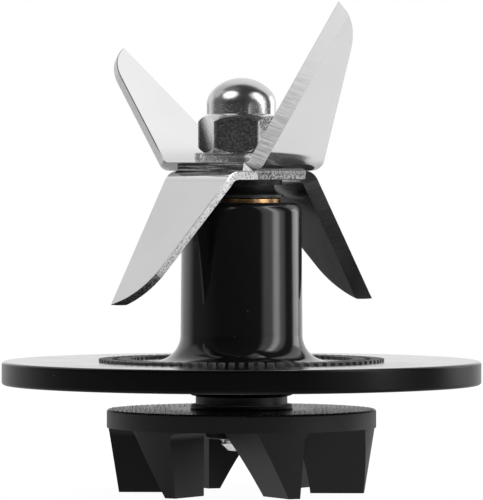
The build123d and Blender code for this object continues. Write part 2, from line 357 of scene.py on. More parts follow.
@dataclass(frozen=True)
class TumbledSteel(Finish):
    """Sheet steel with a soft even lustre and faint clouding, slightly out of flat beside its folds,
    with painted shade that darkens its colour near the folds.
    """

    lean: float = 0.0
    swell: float = 0.0
    swell_end: float = 11.5
    colour: Colour = grey(0.88)
    shade: Colour = (0.84, 0.84, 0.842)
    painted_fold_shade: Colour = grey(0.88)
    painted_fold_shade_end: float = 15.0
    roughness: float = 0.1
    metallic: float = 0.88

    def paint(self, net: Net) -> Dict[str, Value]:
        """Broad clouds in colour and lustre, with fine grain on top."""
        place = net.place()
        cloud = net.noise(place, 60.0, 3.0).step(0.3, 0.75)
        grain = net.noise(place, 2600.0, 2.0) * 0.002
        along = abs(net.split(net.sheet())[0])
        swollen = along.step(8.0, self.swell_end) * self.swell
        flat = net.mix(cloud, self.colour, self.shade)
        return {
            # Painted shade: near each fold the colour is mixed towards a darker grey.
            "Base Color": net.mix(along.step(self.painted_fold_shade_end, 9.5), flat, self.painted_fold_shade),
            "Metallic": self.metallic,
            "Roughness": self.roughness + cloud * 0.03,
            "Normal": net.bump(grain + swollen + net.bowed(self.lean, 8.2, 34.0), MM),
        }


@dataclass(frozen=True)
class GroundSteel(Finish):
    """Ground bevel with wheel marks that run across the cutting edge."""

    lean: float
    root_lean: float
    depth: float
    colour: Colour = grey(0.95)
    shade: Colour = grey(0.62)

    def paint(self, net: Net) -> Dict[str, Value]:
        """The marks fade along the wing, towards its tip."""
        sheet = net.sheet()
        along = net.split(sheet)[0]
        marks = net.noise(net.stretch(sheet, (6.5, 0.2, 1.0)), 1.0, 3.0, 0.65)
        fade = abs(along).step(36.0, 16.0)
        cut = marks.step(0.47, 0.6) * fade
        bowed = net.bowed(self.lean, 7.0, 36.0) + net.bowed(self.root_lean, 7.6, 10.8)
        return {
            "Base Color": net.mix(cut, self.colour, self.shade),
            "Metallic": 1.0,
            "Roughness": 0.3 + cut * 0.1,
            "Normal": net.bump(marks * (fade * 0.9 + 0.1) * self.depth + bowed, MM),
        }


@dataclass(frozen=True)
class ShearedSteel(Finish):
    """Stamped edge: torn where the strip was blanked, brighter where the wings' backs were trimmed."""

    trim_start: float
    torn_end: float
    speckle: float
    streaks: float
    colour: Colour
    torn_colour: Colour = grey(0.1)
    lean: float = 0.0

    def paint(self, net: Net) -> Dict[str, Value]:
        """Streaks and grain where it is torn, and pits where it is trimmed."""
        place = net.place()
        along, across, _ = net.split(net.sheet())
        reach = along * net.math("SIGN", across)
        torn = reach.step(self.trim_start + 0.15, self.trim_start - 0.15)
        torn = torn * abs(along).step(self.torn_end + 2.0, self.torn_end)
        grain = net.noise(place, 2900.0, 3.0, 0.7)
        lines = net.noise(net.stretch(place, (80.0, 80.0, 4000.0)), 1.0, 3.0, 0.6)
        rough = grain * (1 - self.streaks) + lines * self.streaks
        pits = grain.step(0.52, 0.6) * self.speckle
        dark = (torn * rough.step(0.6, 0.46)).larger(pits)
        leaning = net.bump(abs(along) * self.lean, MM)
        return {
            "Base Color": net.mix(dark, self.colour, self.torn_colour),
            "Metallic": 0.85,
            "Roughness": 0.34 + grain * 0.2,
            "Normal": net.bump(rough, 0.00015, 0.15 + torn * 0.5 + pits * 0.4, leaning),
        }


@dataclass(frozen=True)
class PolishedSteel(Finish):
    """Polished steel with fine pits, most of them low down."""

    colour: Colour = grey(0.6)
    pit_colour: Colour = grey(0.4)
    roughness: float = 0.21
    pitted_below: float = 0.0665

    def paint(self, net: Net) -> Dict[str, Value]:
        """Fine pits in a bright surface."""
        place = net.place()
        low = net.split(place)[2].step(self.pitted_below + 0.0025, self.pitted_below - 0.001)
        pits = net.specks(place, 3200.0, 0.4, 0.4) * (low * 0.8 + 0.05)
        wave = net.noise(place, 2200.0, 2.0)
        return {
            "Base Color": net.mix(pits, self.colour, self.pit_colour),
            "Metallic": 1.0,
            "Roughness": self.roughness + pits * 0.12,
            "Normal": net.bump(pits * 0.6 + wave * 0.4, 0.00005, 0.25 + low * 0.3),
        }


@dataclass(frozen=True)
class MottledSteel(Finish):
    """Drawn hexagon bar with rounded corners and finely mottled flats.

    Two flats carry a painted reflection that makes them bright, and one of those is darker towards its
    side and foot.
    """

    painted_bright_flat: Tuple[float, float]
    foot: float
    colour: Colour = grey(0.44)
    shade: Colour = grey(0.31)
    bright: Colour = grey(0.8)
    stain: Colour = grey(0.06)
    corner_turn: float = 4.5
    corner_drop: float = 0.19

    def paint(self, net: Net) -> Dict[str, Value]:
        """Fine blotches and upright draw lines."""
        place = net.place()
        x, y, z = net.split(place)
        turn = net.math("DEGREES", net.math("ARCTAN2", x, 0 - y))
        low, high = self.painted_bright_flat
        side = (turn - low) / (high - low) + (z - self.foot) * 110.0
        blotch = net.noise(place, 2600.0, 4.0, 0.75).step(0.42, 0.66)
        lines = net.noise(net.stretch(place, (2200.0, 2200.0, 60.0)), 1.0, 3.0)
        # Painted reflection: two of the six flats are mixed towards the bright colour.
        one = turn.band(low, high, 1.0)
        other = turn.band(low + 120.0, high + 120.0, 1.0)
        plain = net.mix(one.larger(other), net.mix(blotch, self.shade, self.colour), self.bright)
        past_corner = net.math("FLOORED_MODULO", turn - low, 60.0)
        corner = net.node("ShaderNodeMapRange", None, {0: past_corner, 1: self.corner_turn, 2: 0.0})
        rounded = net.bump(corner * corner * -self.corner_drop, MM)
        # The first bright flat turns darker towards its side and its foot.
        worn = (side + lines * 0.4).step(1.45, 0.75) * one
        return {
            "Base Color": net.mix(worn, plain, self.stain),
            "Metallic": 1.0,
            "Roughness": 0.2 + blotch * 0.1,
            "Normal": net.bump(blotch * 0.5 + lines * 0.5, 0.00003, 0.35, rounded),
        }


@dataclass(frozen=True)
class TurnedMetal(Finish):
    """Lathe-turned metal with fine rings around the spin axis."""

    colour: Colour
    shade: Colour
    roughness: float = 0.22
    rings_per_metre: float = 3000.0

    def paint(self, net: Net) -> Dict[str, Value]:
        """Uneven rings in height and lustre, with grain and a little staining."""
        place = net.place()
        rings = net.noise(net.stretch(place, (60.0, 60.0, self.rings_per_metre)), 1.0, 2.0)
        facing = net.math("SINE", net.radius() * self.rings_per_metre * 2.0) * 0.5 + 0.5
        stain = net.noise(place, 1500.0, 4.0, 0.7).step(0.42, 0.62)
        return {
            "Base Color": net.mix(stain * 0.6 + rings.step(0.45, 0.7) * 0.4, self.colour, self.shade),
            "Metallic": 1.0,
            "Roughness": self.roughness + stain * 0.12,
            "Normal": net.bump(rings * 0.5 + facing * 0.2 + stain * 0.3, 0.00006, 0.5),
        }


@dataclass(frozen=True)
class MouldedRubber(Finish):
    """Moulded black rubber with a dry bloom."""

    colour: Colour = grey(0.007)
    bloom: Colour = grey(0.02)
    roughness: float = 0.42

    def paint(self, net: Net) -> Dict[str, Value]:
        """Bloom in patches, with fine grain."""
        place = net.place()
        patch = net.noise(place, 380.0, 3.0).step(0.45, 0.75)
        grain = net.noise(place, 4200.0, 2.0)
        return {
            "Base Color": net.mix(patch, self.colour, self.bloom),
            "Roughness": self.roughness + patch * 0.14,
            "Normal": net.bump(grain, 0.00002, 0.4),
        }


@dataclass(frozen=True)
class FilledPlastic(Finish):
    """Black glass-filled plastic: sandy grain, with pale fibres where it is coarse."""

    colour: Colour = (0.007, 0.007, 0.0072)
    glint: Colour = grey(0.025)
    roughness: float = 0.42
    coarse: float = 0.25
    specular: float = 0.3

    def paint(self, net: Net) -> Dict[str, Value]:
        """Fine grain everywhere, patches where it is sandier, and a few bright glints."""
        place = net.place()
        grain = net.noise(place, 3600.0, 3.0, 0.7)
        patch = net.noise(place, 120.0, 2.0).step(0.4, 0.7)
        sand = grain.step(0.55, 0.7) * (patch * 0.5 + 0.3)
        glints = net.specks(place, 1100.0, 0.12, 0.03)
        return {
            "Base Color": net.mix(sand.larger(glints), self.colour, self.glint),
            "Specular IOR Level": self.specular,
            "Roughness": self.roughness + grain * 0.16,
            "Normal": net.bump(grain, 0.00008, self.coarse),
        }


@dataclass(frozen=True)
class NaturalNylon(Finish):
    """Cream nylon of the ball cages."""

    colour: Colour = (0.66, 0.57, 0.42)
    shade: Colour = (0.55, 0.46, 0.32)

    def paint(self, net: Net) -> Dict[str, Value]:
        """Faint flow marks."""
        flow = net.noise(net.place(), 500.0, 3.0)
        return {
            "Base Color": net.mix(flow, self.colour, self.shade),
            "Roughness": 0.4 + flow * 0.15,
        }


COATING = GlossCoating("gloss_black_coating")
# Painted shade: below the disc's top the black coating is drawn darker than above, besides being
# duller.
SHADED_RIM = GlossCoating("dull_rim_coating_painted_shade", grey(0.003), roughness=0.26, specular=0.12)
MARKS = GlossCoating("worn_mark_coating", grey(0.1), roughness=0.4)
# The upper blade's top and underside get painted shade near their folds.
UPPER_FACE = TumbledSteel("tumbled_upper_top", painted_fold_shade=grey(0.66))
UPPER_UNDER = TumbledSteel(
    "tumbled_upper_under", 0.115, 1.3, 13.2, painted_fold_shade=grey(0.42), painted_fold_shade_end=11.6,
)
LOWER_FACE = TumbledSteel("tumbled_lower_top", 0.0, 0.76)
LOWER_UNDER = TumbledSteel("tumbled_lower_under", roughness=0.17, metallic=1.0)
# Painted shade: the upward-facing eased edges of both blades are drawn darker than the faces, as dark
# lines along the edges.
UPPER_SHADE_LINE = TumbledSteel("upper_border_painted_shade", colour=grey(0.12), shade=grey(0.2))
LOWER_SHADE_LINE = TumbledSteel("lower_border_painted_shade", colour=grey(0.3), shade=grey(0.7))
UPPER_BEVEL = GroundSteel("ground_upper_bevel", 0.2, 0.85, 0.06)
LOWER_BEVEL = GroundSteel("ground_lower_bevel", 0.0, 0.0, 0.015)
UPPER_EDGE = ShearedSteel("sheared_upper_edge", 6.6, 10.0, 0.1, 0.8, grey(0.68), grey(0.05))
LOWER_EDGE = ShearedSteel("sheared_lower_edge", 3.5, 40.0, 0.7, 0.15, grey(0.95), lean=0.12)
NUT_DOME = PolishedSteel("polished_nut_dome")
NUT_CHAMFER = PolishedSteel("polished_nut_chamfer", grey(0.82), pitted_below=0.055)
NUT_FLATS = MottledSteel("drawn_nut_flats", (-98.6, -38.6), 0.0581)
WASHER = TurnedMetal("turned_washer_steel", grey(0.95), grey(0.14))
BRIGHT = TurnedMetal("bright_shaft_steel", grey(0.8), grey(0.6), 0.16)
BEARING = TurnedMetal("ground_bearing_steel", (0.7, 0.7, 0.71), (0.6, 0.6, 0.61), 0.14)
BLACKENED = TurnedMetal("blackened_steel", grey(0.014), grey(0.06), 0.4)
BRONZE = TurnedMetal("turned_bronze", (0.62, 0.38, 0.18), (0.3, 0.16, 0.07), 0.24)
RUBBER = MouldedRubber("moulded_rubber")
SLINGER = MouldedRubber("slinger_rubber")
PLASTIC = FilledPlastic("filled_plastic")
# Painted light: the rim's top is a lighter copy of the plastic, with brighter specks.
PLASTIC_TOP = FilledPlastic("filled_plastic_top_painted_light", grey(0.02), grey(0.4), 0.16, 0.06, 1.0)
# The grains are pale grit, drawn lighter still with painted light so that they show in the shade under
# the disc.
PLASTIC_GRAIN = FilledPlastic("filled_plastic_grain", grey(0.03), grey(0.3), 0.3, 0.5, 0.6)
# Painted light: the collar's top is drawn light grey on the black plastic.
PLASTIC_COLLAR = FilledPlastic("collar_top_painted_light", grey(0.5), grey(0.8), 0.3, 0.5, 1.0)
NYLON = NaturalNylon("natural_nylon")


class Corner(NamedTuple):
    """One corner of a turned profile, in millimetres."""

    radius: float
    height: float
    rounding: float = 0.0
    cuts: int = 4


class Work:
    """A bmesh in millimetres and the operations that the pieces share."""

    def __init__(self) -> None:
        """Start empty."""
        self.bm = bmesh.new()

    def whole(self) -> list:
        """All vertices, edges and faces."""
        return self.bm.verts[:] + self.bm.edges[:] + self.bm.faces[:]

    def add(self, shell: bmesh.types.BMesh) -> None:
        """Move another bmesh's geometry into this one."""
        carrier = bpy.data.meshes.new("carrier")
        shell.to_mesh(carrier)
        shell.free()
        self.bm.from_mesh(carrier)
        bpy.data.meshes.remove(carrier)

    def copy(self, node: str) -> None:
        """Take over a CAD node's mesh, merged and with its flat faces made whole."""
        shell = bmesh.new()
        shell.from_mesh(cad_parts[node].data)
        bmesh.ops.scale(shell, vec=(1 / MM, 1 / MM, 1 / MM), verts=shell.verts)
        bmesh.ops.remove_doubles(shell, verts=shell.verts, dist=MERGE)
        bmesh.ops.dissolve_limit(shell, angle_limit=FLAT_ANGLE, verts=shell.verts, edges=shell.edges)
        bmesh.ops.recalc_face_normals(shell, faces=shell.faces)
        self.add(shell)

    def turn(self, corners: Sequence[Corner], steps: int = 160) -> None:
        """Turn a closed profile about the spin axis.

        Args:
            corners: The profile's corners in order.
            steps: Number of steps in the full turn.
        """
        shell = bmesh.new()
        verts = [shell.verts.new((corner.radius, 0.0, corner.height)) for corner in corners]
        shell.faces.new(verts)
        count = len(corners)
        for index, corner in enumerate(corners):
            if not corner.rounding:
                continue
            here = Vector(corner[:2])
            back = Vector(corners[index - 1][:2]) - here
            ahead = Vector(corners[(index + 1) % count][:2]) - here
            reach = corner.rounding / math.tan(back.angle(ahead) / 2)
            bmesh.ops.bevel(
                shell, geom=[verts[index]], offset=reach, offset_type="OFFSET", segments=corner.cuts,
                profile=0.5, affect="VERTICES", material=-1,
            )
        bmesh.ops.delete(shell, geom=shell.faces[:], context="FACES_ONLY")
        axial = [edge for edge in shell.edges if max(abs(vert.co.x) for vert in edge.verts) < 1e-6]
        bmesh.ops.delete(shell, geom=axial, context="EDGES")
        bmesh.ops.spin(
            shell, geom=shell.verts[:] + shell.edges[:], cent=(0, 0, 0), axis=(0, 0, 1),
            angle=FULL_TURN, steps=steps, use_merge=True,
        )
        bmesh.ops.remove_doubles(shell, verts=shell.verts, dist=FINE_MERGE)
        bmesh.ops.recalc_face_normals(shell, faces=shell.faces)
        self.add(shell)

    def ease(
        self,
        width: float,
        angle: float = 30.0,
        skip: Iterable[bmesh.types.BMEdge] = (),
        clamp: bool = True,
    ) -> List[bmesh.types.BMFace]:
        """Round the sharp edges.

        Args:
            width: Width of the rounding.
            angle: Edges that turn by more than this many degrees are rounded.
            skip: Edges that stay sharp.
            clamp: Whether the width gives way beside short edges.

        Returns:
            The new faces along the edges.
        """
        left = set(skip)
        sharp = [
            edge for edge in self.bm.edges
            if edge not in left and len(edge.link_faces) == 2
            and edge.calc_face_angle(0.0) > math.radians(angle)
        ]
        made = bmesh.ops.bevel(
            self.bm, geom=sharp, offset=width, offset_type="OFFSET", segments=2, profile=0.5,
            affect="EDGES", clamp_overlap=clamp, material=-1,
        )
        return made["faces"]

    def settle(self, name: str, finishes: Sequence[Finish], sharp: float = 32.0) -> bpy.types.Object:
        """Close the mesh, scale it to metres and make its object.

        Args:
            name: Name of the piece.
            finishes: Finishes in the order of the faces' material numbers.
            sharp: Edges that turn by more than this many degrees are shaded sharp.

        Returns:
            The new object, at the origin.
        """
        bmesh.ops.remove_doubles(self.bm, verts=self.bm.verts, dist=FINE_MERGE)
        for face in self.bm.faces:
            face.smooth = True
        for edge in self.bm.edges:
            edge.smooth = len(edge.link_faces) == 2 and edge.calc_face_angle(0.0) < math.radians(sharp)
        bmesh.ops.scale(self.bm, vec=(MM, MM, MM), verts=self.bm.verts)
        mesh = bpy.data.meshes.new(name)
        self.bm.to_mesh(mesh)
        self.bm.free()
        if "custom_normal" in mesh.attributes:
            mesh.attributes.remove(mesh.attributes["custom_normal"])
        for finish in finishes:
            mesh.materials.append(finish.material())
        piece = bpy.data.objects.new(name, mesh)
        bpy.context.scene.collection.objects.link(piece)
        weighted = piece.modifiers.new("even_shading", "WEIGHTED_NORMAL")
        weighted.keep_sharp = True
        return piece


def span(node: str) -> Tuple[float, float]:
    """Lowest and highest level of a CAD node, in millimetres."""
    low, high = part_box(node)
    return low.z / MM, high.z / MM


def fit(piece: bpy.types.Object, body: Body, slot: str, *nodes: str) -> bpy.types.Object:
    """Ride a piece on its body and let it stand for CAD nodes.

    Args:
        piece: The finished piece.
        body: The body that it rides on.
        slot: The record's material slot; not used.
        nodes: CAD nodes that it stands for.

    Returns:
        The same piece.
    """
    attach(piece, body.value)
    if nodes:
        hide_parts(*nodes)
    log.info("%s: %d faces on %s", piece.name, len(piece.data.polygons), body.value)
    return piece


@dataclass
class BasePlate:
    """Gloss black disc, hub and boss, with a ring of plain marks on the disc."""

    rim_radius: float = 41.0
    rim_round: float = 0.5
    hub_radius: float = 10.25
    hub_root_radius: float = 10.4865
    hub_round: float = 1.8
    root_fillet: float = 4.5
    boss_radius: float = 9.0
    boss_round: float = 0.8
    bore_radius: float = 8.0
    lip_radius: float = 6.0
    lip_height: float = 1.4
    disc_bottom: float = 18.5
    disc_top: float = 22.5
    mark_rows: Tuple[Tuple[float, int], ...] = ((20.2, 76), (23.3, 88))
    mark_length: float = 2.2
    mark_width: float = 0.8
    mark_height: float = 0.4
    gloss_edge: float = 0.2

    def build(self) -> None:
        """Build the plate, dull and with painted shade from just below the disc's top, and its marks.
        """
        bottom, top = span("base_plate")
        work = Work()
        work.turn(
            [
                Corner(self.lip_radius, bottom),
                Corner(self.boss_radius, bottom, self.boss_round, 6),
                Corner(self.boss_radius, self.disc_bottom, 0.4),
                Corner(self.rim_radius, self.disc_bottom, self.rim_round, 6),
                Corner(self.rim_radius, self.disc_top, self.rim_round, 6),
                Corner(self.hub_root_radius, self.disc_top, self.root_fillet, 14),
                Corner(self.hub_radius, top, self.hub_round, 10),
                Corner(self.bore_radius, top),
                Corner(self.bore_radius, bottom + self.lip_height),
                Corner(self.lip_radius, bottom + self.lip_height),
            ],
            192,
        )
        for face in work.bm.faces:
            face.material_index = int(face.calc_center_median().z < self.disc_top - self.gloss_edge)
        fit(work.settle("base_plate_body", [COATING, SHADED_RIM]), Body.HOUSING, "coated_black", "base_plate")
        self.build_marks()

    def build_marks(self) -> None:
        """Build two rows of small raised dashes around the hub."""
        work = Work()
        size = (self.mark_length, self.mark_width, 2 * self.mark_height)
        for radius, count in self.mark_rows:
            for index in range(count):
                made = bmesh.ops.create_cube(work.bm, size=1.0)["verts"]
                bmesh.ops.scale(work.bm, vec=size, verts=made)
                bmesh.ops.translate(work.bm, vec=(radius, 0, self.disc_top), verts=made)
                turn = Matrix.Rotation(FULL_TURN * index / count, 3, "Z")
                bmesh.ops.rotate(work.bm, cent=(0, 0, 0), matrix=turn, verts=made)
        fit(work.settle("disc_marks", [MARKS]), Body.HOUSING, "coated_black")


@dataclass
class WingForm:
    """Outline of one wing, measured along its plane from the crease, in millimetres."""

    bend: float
    length: float
    back: float
    knee_reach: float
    knee_offset: float
    bevel: float


@dataclass
class StampedBlade:
    """A blade strip with two folded and ground wings."""

    node: str
    fold: Fold
    azimuth: float
    near: WingForm
    far: WingForm
    finishes: Tuple[Finish, Finish, Finish, Finish, Finish]
    thickness: float = 1.5
    bend_distance: float = 9.5
    inside_radius: float = 2.0
    edge_offset: float = 7.6
    edge_land: float = 0.06
    runout: float = 0.3
    hole_radius: float = 4.05
    fold_cuts: int = 10
    edge_rounding: float = 0.14
    level_face: float = 0.995
    upright_face: float = 0.02

    def setback(self, wing: WingForm) -> float:
        """Distance from the crease to the start of the fold."""
        return (self.inside_radius + self.thickness / 2) * math.tan(math.radians(wing.bend) / 2)

    def start(self, wing: WingForm) -> float:
        """Where the fold starts on the flat strip."""
        return self.bend_distance - self.setback(wing)

    def arc(self, wing: WingForm) -> float:
        """Length of the fold along the middle of the sheet."""
        return (self.inside_radius + self.thickness / 2) * math.radians(wing.bend)

    def flat(self, wing: WingForm, reach: float) -> float:
        """Place on the unfolded strip of a point at a reach from the crease."""
        return reach - self.setback(wing) + self.start(wing) + self.arc(wing)

    def draw_wing(self, bm: bmesh.types.BMesh, wing: WingForm, side: int) -> List[bmesh.types.BMVert]:
        """Draw one wing's outline on the flat sheet.

        Args:
            bm: The bmesh that takes the outline.
            wing: The wing's sizes.
            side: 1 for the near wing, -1 for the far one.

        Returns:
            The outline's vertices in order, from the edge side of the fold to its back side.
        """
        tip = Vector((self.flat(wing, wing.length), -self.edge_offset, 0))
        knee = Vector((self.flat(wing, wing.knee_reach), wing.knee_offset, 0))
        root = Vector((self.start(wing) + self.arc(wing), wing.back, 0))
        heading = (knee - root).normalized()
        inward = Vector((heading.y, -heading.x, 0))
        chord = tip - knee
        centre = knee + inward * (chord.length_squared / (2 * chord.dot(inward)))
        sweep = (tip - centre).angle(knee - centre)
        verts = [bm.verts.new((self.start(wing), -self.edge_offset, 0)), bm.verts.new(tip)]
        bm.edges.new(verts)
        before = set(bm.verts)
        bmesh.ops.spin(
            bm, geom=[verts[-1]], cent=centre, axis=(0, 0, 1), angle=sweep, steps=12,
        )
        swept = [vert for vert in bm.verts if vert not in before]
        verts += sorted(swept, key=lambda vert: (vert.co - tip).length)
        for corner in (root, Vector((self.start(wing), wing.back, 0))):
            verts.append(bm.verts.new(corner))
            bm.edges.new(verts[-2:])
        if side < 0:
            half_turn = Matrix.Rotation(math.pi, 3, "Z")
            bmesh.ops.rotate(bm, cent=(0, 0, 0), matrix=half_turn, verts=verts)
        return verts

    def draw(self, bm: bmesh.types.BMesh) -> None:
        """Draw the flat sheet with its hole, and cut it where it folds and where the bevel starts."""
        near = self.draw_wing(bm, self.near, 1)
        far = self.draw_wing(bm, self.far, -1)
        bm.edges.new((near[-1], far[0]))
        bm.edges.new((far[-1], near[0]))
        bmesh.ops.create_circle(bm, segments=48, radius=self.hole_radius)
        bmesh.ops.triangle_fill(bm, edges=bm.edges[:], use_beauty=True, normal=(0, 0, 1))
        bmesh.ops.dissolve_limit(bm, angle_limit=FLAT_ANGLE, verts=bm.verts, edges=bm.edges)
        for wing, side in ((self.near, 1), (self.far, -1)):
            start, arc = self.start(wing), self.arc(wing)
            places = [start - self.runout]
            places += [start + arc * cut / self.fold_cuts for cut in range(self.fold_cuts + 1)]
            for place in places:
                self.score(bm, (side * place, 0, 0), (1, 0, 0))
            self.score(bm, (0, side * (wing.bevel - self.edge_offset), 0), (0, 1, 0))

    def score(self, bm: bmesh.types.BMesh, point: Sequence[float], normal: Sequence[float]) -> None:
        """Cut the sheet's faces along a straight line."""
        geom = bm.verts[:] + bm.edges[:] + bm.faces[:]
        bmesh.ops.bisect_plane(bm, geom=geom, dist=1e-5, plane_co=point, plane_no=normal)

    def wing_at(self, x: float) -> Optional[Tuple[WingForm, int]]:
        """The wing and side that a place on the flat sheet belongs to, if any."""
        for wing, side in ((self.near, 1), (self.far, -1)):
            if side * x >= self.start(wing) - 1e-4:
                return wing, side
        return None

    def grind(self, bm: bmesh.types.BMesh) -> None:
        """Lift the sheet's underside towards each cutting edge, up to the edge's land."""
        rise = self.thickness - self.edge_land
        for vert in bm.verts:
            found = self.wing_at(vert.co.x)
            if found and vert.co.z < 1e-4:
                wing, side = found
                depth = wing.bevel - self.edge_offset - side * vert.co.y
                vert.co.z = rise * max(depth, 0.0) / wing.bevel

    def sort_faces(self, bm: bmesh.types.BMesh) -> None:
        """Give each face of the flat sheet its finish, by how far it faces up or down."""
        for face in bm.faces:
            face.normal_update()
            up = face.normal.z
            if abs(up) > self.level_face:
                face.material_index = Skin.TOP if up > 0 else Skin.UNDER
            else:
                face.material_index = Skin.EDGE if abs(up) < self.upright_face else Skin.BEVEL

    def lay_sheet(self, bm: bmesh.types.BMesh) -> None:
        """Keep the flat sheet's coordinates, in millimetres, for finishes that follow the sheet."""
        layer = bm.loops.layers.uv.new(SHEET_UV)
        for face in bm.faces:
            for loop in face.loops:
                loop[layer].uv = loop.vert.co.xy

    def folded(self, flat: Vector) -> Vector:
        """Where a point of the flat sheet goes when the wings are folded.

        Args:
            flat: The point on the flat sheet, with its height in the sheet as z.

        Returns:
            The point on the folded blade.
        """
        found = self.wing_at(flat.x)
        if found is None:
            return flat
        wing, side = found
        rise = self.fold.value
        start, arc = self.start(wing), self.arc(wing)
        past = side * flat.x - start
        turn = math.radians(wing.bend) * min(past / arc, 1.0)
        beyond = max(past - arc, 0.0)
        reach = self.inside_radius + (self.thickness - flat.z if rise > 0 else flat.z)
        pivot = self.thickness + self.inside_radius if rise > 0 else -self.inside_radius
        x = start + reach * math.sin(turn) + beyond * math.cos(turn)
        z = pivot - rise * reach * math.cos(turn) + rise * beyond * math.sin(turn)
        return Vector((side * x, flat.y, z))

    def build(self) -> None:
        """Build the blade: draw, thicken, grind, ease, fold and set in place."""
        work = Work()
        bm = work.bm
        self.draw(bm)
        thick = bmesh.ops.extrude_face_region(bm, geom=bm.faces[:])["geom"]
        raised = [item for item in thick if isinstance(item, bmesh.types.BMVert)]
        bmesh.ops.translate(bm, vec=(0, 0, self.thickness), verts=raised)
        self.grind(bm)
        bmesh.ops.recalc_face_normals(bm, faces=bm.faces)
        self.sort_faces(bm)
        keen = [
            edge for edge in bm.edges
            if any(face.material_index == Skin.BEVEL for face in edge.link_faces)
            or abs(abs(edge.verts[0].co.y) - self.edge_offset) < MERGE
        ]
        for face in work.ease(self.edge_rounding, 60.0, skip=keen, clamp=False):
            face.normal_update()
            # Upward-facing rounded edges take the border finish, which is painted shade.
            if face.normal.z > 0.1:
                face.material_index = Skin.BORDER
        self.lay_sheet(bm)
        for vert in bm.verts:
            vert.co = self.folded(vert.co.copy())
        bmesh.ops.recalc_face_normals(bm, faces=bm.faces)
        level = span(self.node)[0] if self.fold is Fold.UP else span(self.node)[1] - self.thickness
        place = Matrix.Translation((0, 0, level)) @ Matrix.Rotation(math.radians(self.azimuth), 4, "Z")
        bmesh.ops.transform(bm, matrix=place, verts=bm.verts)
        piece = work.settle(self.node + "_steel", self.finishes, 25.0)
        fit(piece, Body.SPINDLE, "blade_steel", self.node)


@dataclass
class CapNut:
    """Cap nut with eased corners, a polished dome and mottled flats."""

    hex_height: float = 6.6
    corner_rounding: float = 0.28
    rounding: float = 0.1

    def build(self) -> None:
        """Ease a copy of the node and part its flats from the rest."""
        work = Work()
        work.copy("cap_nut")
        top = span("cap_nut")[0] + self.hex_height
        for face in work.bm.faces:
            if face.calc_center_median().z < top:
                face.material_index = 1 if abs(face.normal.z) < 0.1 else 2
        work.ease(self.corner_rounding, angle=55.0)
        work.ease(self.rounding, angle=35.0)
        piece = work.settle("cap_nut_steel", [NUT_DOME, NUT_FLATS, NUT_CHAMFER])
        fit(piece, Body.SPINDLE, "nut_steel", "cap_nut")


@dataclass
class TopWasher:
    """Plain washer under the nut, with eased corners."""

    rounding: float = 0.15

    def build(self) -> None:
        """Ease a copy of the node."""
        work = Work()
        work.copy("top_washer")
        work.ease(self.rounding)
        fit(work.settle("top_washer_steel", [WASHER]), Body.SPINDLE, "washer_steel", "top_washer")


@dataclass
class Coupler:
    """Moulded coupler with eased edges and a sandy top, whose top faces carry painted light."""

    rounding: float = 0.2
    rim_level: float = 14.3
    collar_level: float = 15.2
    grain_count: int = 120
    grain_sectors: int = 12
    grain_radii: Tuple[float, float] = (12.4, 22.7)
    grain_radius: float = 0.15
    grain_height: float = 0.09
    slack: float = 0.3

    def build(self) -> None:
        """Ease a copy of the node, part its top from the rest and add the sand."""
        work = Work()
        work.copy("drive_coupler")
        for face in work.bm.faces:
            level = face.calc_center_median().z
            # The rim's and the collar's top faces take finishes with painted light.
            if face.normal.z > 0.5 and level > self.rim_level - self.slack:
                face.material_index = 2 if level > self.collar_level - self.slack else 1
        work.ease(self.rounding, angle=35.0)
        piece = work.settle("drive_coupler_moulding", [PLASTIC, PLASTIC_TOP, PLASTIC_COLLAR])
        fit(piece, Body.SPINDLE, "coupler_black", "drive_coupler")
        self.build_grains()

    def build_grains(self) -> None:
        """Scatter small pyramids over one sector of the rim's top, and repeat the sector around."""
        work = Work()
        inner, outer = self.grain_radii
        sector = FULL_TURN / self.grain_sectors
        for index in range(self.grain_count):
            share = (index + 0.5) / self.grain_count
            radius = math.sqrt(inner ** 2 + (outer ** 2 - inner ** 2) * share)
            angle = sector * (index * 0.618034 % 1.0)
            size = 0.5 + 0.5 * (index * 7 % 11) / 10
            made = bmesh.ops.create_cone(
                work.bm, cap_ends=False, segments=4, radius1=self.grain_radius * size,
                radius2=self.grain_radius * 0.2, depth=2 * self.grain_height * size,
            )["verts"]
            spot = (radius * math.cos(angle), radius * math.sin(angle), self.rim_level)
            turn = Matrix.Rotation(index * 1.3, 3, "Z")
            bmesh.ops.rotate(work.bm, cent=(0, 0, 0), matrix=turn, verts=made)
            bmesh.ops.translate(work.bm, vec=spot, verts=made)
        bmesh.ops.spin(
            work.bm, geom=work.whole(), cent=(0, 0, 0), axis=(0, 0, 1),
            angle=FULL_TURN - sector, steps=self.grain_sectors - 1, use_duplicate=True,
        )
        fit(work.settle("coupler_sand", [PLASTIC_GRAIN], 20.0), Body.SPINDLE, "coupler_black")


